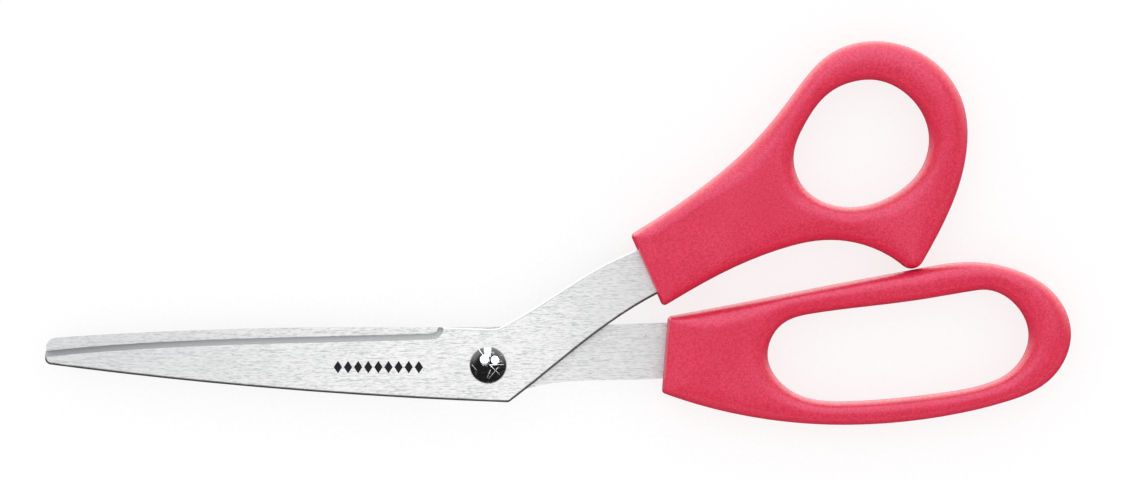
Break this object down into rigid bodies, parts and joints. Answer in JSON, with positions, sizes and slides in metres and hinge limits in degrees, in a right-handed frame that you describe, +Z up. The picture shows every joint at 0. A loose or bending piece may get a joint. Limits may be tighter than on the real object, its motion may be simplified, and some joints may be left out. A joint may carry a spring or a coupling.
{
  "type": "bent-handle shears",
  "caption": "Bent-handle shears with straight ground steel blades, a domed pivot rivet and moulded plastic thumb and finger handles.",
  "frame": {"origin": "centre of the closed shears' bounding box in plan, on the surface they lie on", "axes": "+X from the blade tips towards the handles, +Y from the finger handle towards the thumb handle, +Z up through the pivot rivet's head"},
  "size_m": [0.2032, 0.0762, 0.0104],
  "materials": {
    "blade_steel": "fine brushed stainless steel, ground bevels a little darker",
    "handle_plastic": "rose-red moulded ABS, fine satin texture",
    "rivet_steel": "polished dome with light scratches",
    "washer_steel": "stamped steel"
  },
  "bodies": {
    "back_half": {"back_blade": "blade_steel", "finger_handle": "handle_plastic"},
    "front_half": {"front_blade": "blade_steel", "thumb_handle": "handle_plastic", "pivot_rivet": "rivet_steel", "rivet_washer": "washer_steel"}
  },
  "joints": [
    {"name": "pivot", "type": "hinge", "parent": "back_half", "child": "front_half", "pos_m": [-0.0139, -0.02615, 0.0052], "axis": [0, 0, 1], "range_deg": [0, 125]}
  ]
}
